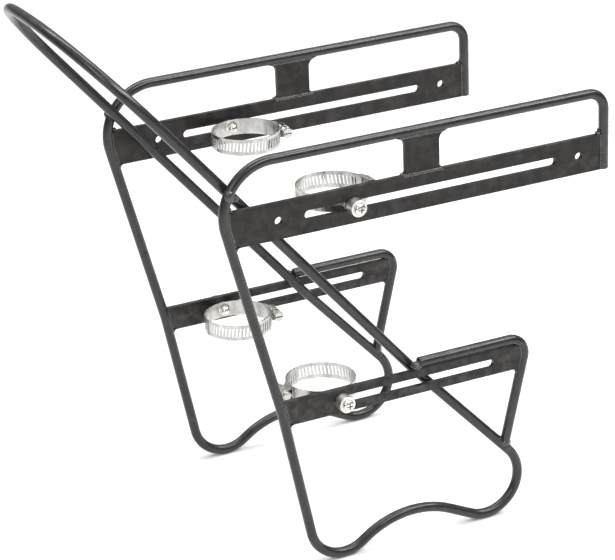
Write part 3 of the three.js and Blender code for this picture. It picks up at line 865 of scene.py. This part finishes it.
def housing_mesh():
    """The pressed arch over the worm and the saddle that it stands on."""
    inner = WORM_CREST + FIT_GAP
    outer = inner + HOUSING_WALL
    foot = BAND_RADIUS + FIT_GAP - WORM_X
    outline = [
        (foot, -inner), (foot, -outer - HOUSING_FOOT), (foot + HOUSING_WALL, -outer - HOUSING_FOOT),
        (foot + HOUSING_WALL, -outer - 0.5), (foot + HOUSING_WALL + 0.5, -outer),
        *arc_points(0, 0, outer, -90, 90, 18),
        (foot + HOUSING_WALL + 0.5, outer), (foot + HOUSING_WALL, outer + 0.5),
        (foot + HOUSING_WALL, outer + HOUSING_FOOT), (foot, outer + HOUSING_FOOT), (foot, inner),
        *arc_points(0, 0, inner, 90, -90, 18),
    ]
    arch = flat_plate([(x + WORM_X, z) for x, z in outline], [], HOUSING_LENGTH, 0)
    lip = outer + HOUSING_FOOT
    under, over = BAND_RADIUS - 0.5, BAND_RADIUS + 0.3
    saddle_outline = [(under, -lip), (over, -lip), (over, lip), (under, lip)]
    saddle = flat_plate(saddle_outline, [], HOUSING_LENGTH + 2.4, 0)
    claws = []
    for way in (-1, 1):
        claw = [
            (BAND_RADIUS - 2.4, way * (lip - 0.1)), (BAND_RADIUS - 0.4, way * (lip - 0.1)),
            (BAND_RADIUS - 0.4, way * (lip + 0.5)), (BAND_RADIUS - 2.4, way * (lip + 0.5)),
        ]
        claws.append(flat_plate(claw, [], HOUSING_LENGTH * 0.55, 0))
    return joined(arch, saddle, *claws)


def worm_mesh():
    """The worm: one helical ridge, a neck and a slotted hexagon head towards -y."""
    sides, steps_per_pitch = 32, 14
    rows = int(WORM_LENGTH / WORM_PITCH * steps_per_pitch)
    rings = []
    for j in range(rows + 1):
        y = -WORM_LENGTH / 2 + WORM_LENGTH * j / rows
        ends = min(1, (j + 1) / 6, (rows - j + 1) / 6)
        ring = []
        for k in range(sides):
            phase = (y / WORM_PITCH - k / sides) % 1
            ridge = min(1, max(0, 2.2 - abs(phase - 0.5) * 7)) * ends
            radius = WORM_ROOT + (WORM_CREST - WORM_ROOT) * ridge
            turn = 2 * pi * k / sides
            ring.append(Vector((radius * sin(turn), y, radius * cos(turn))))
        rings.append(ring)
    head_face = -WORM_LENGTH / 2 - WORM_NECK
    corner = WORM_HEAD_ACROSS_FLATS / sqrt(3)
    end = head_face - WORM_HEAD_HEIGHT
    head = turned([(corner - 0.5, end), (corner, end + 0.4), (corner, head_face)], sides=6)
    blade = WORM_HEAD_ACROSS_FLATS
    slot = flat_plate([(-blade, -0.6), (blade, -0.6), (blade, 0.6), (-blade, 0.6)], [], 3.0, end)
    neck = turned([(WORM_ROOT * 0.9, head_face - 0.2), (WORM_ROOT * 0.9, -WORM_LENGTH / 2 + 0.2)])
    flange = turned([
        (3.9, head_face - 0.4), (4.3, head_face - 0.1), (4.3, head_face + 0.4), (3.9, head_face + 0.6),
    ])
    mesh = joined(bridge(rings), carved(head, slot), neck, flange)
    mesh.transform(Matrix.Translation((WORM_X, 0, 0)))
    return mesh


def cross_recess(top, span_across, width, depth):
    """The tapered cutter for a cross-headed screw, about the y axis."""
    def plus(reach, half, y):
        corners = [(half, half), (half, reach), (-half, reach), (-half, half)]
        ring = []
        for quarter in range(4):
            c, s = cos(quarter * pi / 2), sin(quarter * pi / 2)
            ring += [Vector((x * c - z * s, y, x * s + z * c)) for x, z in corners[:3]]
        return ring
    outer = plus(span_across / 2, width / 2, top + 0.5)
    inner = plus(span_across / 2 * 0.55, width / 2 * 0.6, top - depth)
    mesh = bridge([outer, inner])
    fixed = bmesh.new()
    fixed.from_mesh(mesh)
    bmesh.ops.recalc_face_normals(fixed, faces=fixed.faces[:])
    fixed.to_mesh(mesh)
    fixed.free()
    return mesh


def mounting_screw_mesh():
    barrel_start = BAR_INNER_FACE + BAR_THICKNESS + FIT_GAP
    head_start = barrel_start + BARREL_LENGTH + 0.05
    top = head_start + SCREW_HEAD_HEIGHT
    r, h = SCREW_HEAD_RADIUS, SCREW_HEAD_HEIGHT
    head = turned([
        (SCREW_RADIUS, head_start), (r - 0.15, head_start), (r, head_start + 0.2),
        (r, head_start + h * 0.35), (r * 0.96, head_start + h * 0.58), (r * 0.86, head_start + h * 0.79),
        (r * 0.68, head_start + h * 0.93), (r * 0.4, top), (r * 0.05, top + 0.05),
    ], sides=48)
    head = carved(head, cross_recess(top, 5.6, 1.25, 1.9))
    shank_radius = SCREW_RADIUS * 0.96
    shank = turned([(shank_radius, NUT_SEAT - 2.6), (shank_radius, head_start + 0.3)])
    return joined(head, shank)


def cap_nut_mesh():
    """A domed cap nut: a hexagon with chamfered corners under a dome."""
    nut_start = NUT_SEAT + 0.25
    crown = nut_start - NUT_HEIGHT
    hex_end = nut_start - NUT_HEIGHT * 0.46
    r = NUT_RADIUS
    hexagon = turned([(r - 0.45, hex_end), (r, hex_end + 0.4), (r, nut_start)], sides=6)
    dome_radius = r * 0.84
    rise = hex_end - crown
    turns = [radians(88 - 8 * k) for k in range(12)]
    dome = [(dome_radius * cos(t), hex_end + 0.3 - (rise + 0.3) * sin(t)) for t in turns]
    flange = turned([(r, nut_start - 0.1), (r + 0.5, nut_start + 0.1), (r + 0.5, nut_start + 0.45)])
    return joined(hexagon, turned(dome), flange)


def make_clamp(side_name, side, level, flipped):
    name = f"{side_name}_{level}_clamp"
    seat = Matrix.Translation((
        CLAMP_X[level], side * (FRAME_Y - BAR_THICKNESS / 2 - BAR_INNER_FACE), CLAMP_Z[level],
    ))
    if side < 0:
        seat = seat @ Matrix.Rotation(pi, 4, "Z")
    ring = seat @ Matrix.Rotation(pi, 4, "Y") if flipped else seat
    barrel_start = BAR_INNER_FACE + BAR_THICKNESS + FIT_GAP
    bore = SCREW_RADIUS + FIT_GAP
    barrel = pipe(bore, BARREL_RADIUS, barrel_start, barrel_start + BARREL_LENGTH)
    washer = pipe(bore, WASHER_RADIUS, BAND_RADIUS + 0.05, BAR_INNER_FACE - 0.05)
    band = joined(band_mesh(), tail_mesh())
    on_ring, on_carriage = f"{name}_ring", f"{name}_carriage"
    parts = [
        ("slotted_band", band, ring, on_ring, BAND_STEEL, "band", 0.1),
        ("arched_housing", housing_mesh(), ring, on_ring, HOUSING_STEEL, "worm_housing", 0.18),
        ("worm", worm_mesh(), ring, f"{name}_worm", WORM_STEEL, "worm_screw", 0.0),
        ("domed_nut", cap_nut_mesh(), seat, on_ring, SCREW_STEEL, "cap_nut", 0.0),
        ("pan_head_screw", mounting_screw_mesh(), seat, on_carriage, SCREW_STEEL, "mounting_screw", 0.0),
        ("turned_barrel", barrel, seat, on_carriage, SPACER_STEEL, "barrel_spacer", 0.0),
        ("thick_washer", washer, seat, on_carriage, SPACER_STEEL, "inner_washer", 0.0),
    ]
    for label, mesh, place, body, finish, node, bevel in parts:
        mesh.transform(place)
        piece(f"{name}_{label}", mesh, body, finish, [f"{name}_{node}"], sharp=30, bevel=bevel)


# ---- Stage -----------------------------------------------------------------------------------
CAMERA_PLACE = (-0.85427, -1.74887, 0.98599)
CAMERA_HEADING = 0.45712
CAMERA_DOWN = 0.38806
CAMERA_ROLL = -0.03912
CAMERA_LENS = 155.31
HORIZON_TOP, ZENITH_START = 0.05, 0.75
HORIZON_LIGHT, ZENITH_LIGHT = 0.2, 0.85
LIT_SPOT = (0, 0, 0.2)
FLOOR_REACH = 9
FLOOR_SHADE = 0.92


def make_camera():
    data = bpy.data.cameras.new("camera")
    data.lens = CAMERA_LENS
    data.sensor_width = 36
    camera = bpy.data.objects.new("camera", data)
    bpy.context.scene.collection.objects.link(camera)
    camera.matrix_world = (
        Matrix.Translation(CAMERA_PLACE) @ Matrix.Rotation(-CAMERA_HEADING, 4, "Z")
        @ Matrix.Rotation(pi / 2 - CAMERA_DOWN, 4, "X") @ Matrix.Rotation(CAMERA_ROLL, 4, "Z")
    )
    bpy.context.scene.camera = camera


def make_floor():
    corners = [(x * FLOOR_REACH, y * FLOOR_REACH, 0) for x, y in ((-1, -1), (1, -1), (1, 1), (-1, 1))]
    mesh = new_mesh(corners, [(0, 1, 2, 3)])
    floor = bpy.data.objects.new("floor", mesh)
    bpy.context.scene.collection.objects.link(floor)
    material = bpy.data.materials.new("pale_floor")
    material.use_nodes = True
    shader = material.node_tree.nodes["Principled BSDF"]
    shader.inputs["Base Color"].default_value = (FLOOR_SHADE, FLOOR_SHADE, FLOOR_SHADE, 1)
    shader.inputs["Roughness"].default_value = 0.9
    mesh.materials.append(material)


def softbox(name, place, size, power):
    data = bpy.data.lights.new(name, "AREA")
    data.shape = "RECTANGLE"
    data.size, data.size_y = size
    data.energy = power
    light = bpy.data.objects.new(name, data)
    bpy.context.scene.collection.objects.link(light)
    light.location = place
    light.rotation_mode = "QUATERNION"
    light.rotation_quaternion = (Vector(LIT_SPOT) - Vector(place)).to_track_quat("-Z", "Y")


def make_light():
    """A studio dome, dim towards the horizon, with two long softboxes above and one at the front."""
    world = bpy.data.worlds.new("studio")
    bpy.context.scene.world = world
    world.use_nodes = True
    tree = world.node_tree
    split = tree.nodes.new("ShaderNodeSeparateXYZ")
    tree.links.new(tree.nodes.new("ShaderNodeTexCoord").outputs["Generated"], split.inputs[0])
    rising = span(tree, split.outputs["Z"], HORIZON_TOP, ZENITH_START, HORIZON_LIGHT, ZENITH_LIGHT)
    back = tree.nodes["Background"]
    back.inputs["Color"].default_value = (1, 1, 1, 1)
    tree.links.new(rising, back.inputs["Strength"])
    softbox("overhead", place=(0.15, 0.25, 1.9), size=(2.2, 0.45), power=24)
    softbox("key", place=(0.8, -1.05, 1.65), size=(2.4, 0.3), power=30)
    softbox("front_left", place=(-1.9, -1.6, 1.5), size=(0.5, 1.4), power=16)
    bpy.context.scene.view_settings.view_transform = "Standard"


# ---- Build -----------------------------------------------------------------------------------
make_camera()
make_rods()
make_bars()
make_welds()
for side_name, side in SIDES:
    make_clamp(side_name, side, "upper", flipped=side < 0)
    make_clamp(side_name, side, "lower", flipped=False)
make_floor()
make_light()

bpy.context.view_layer.update()
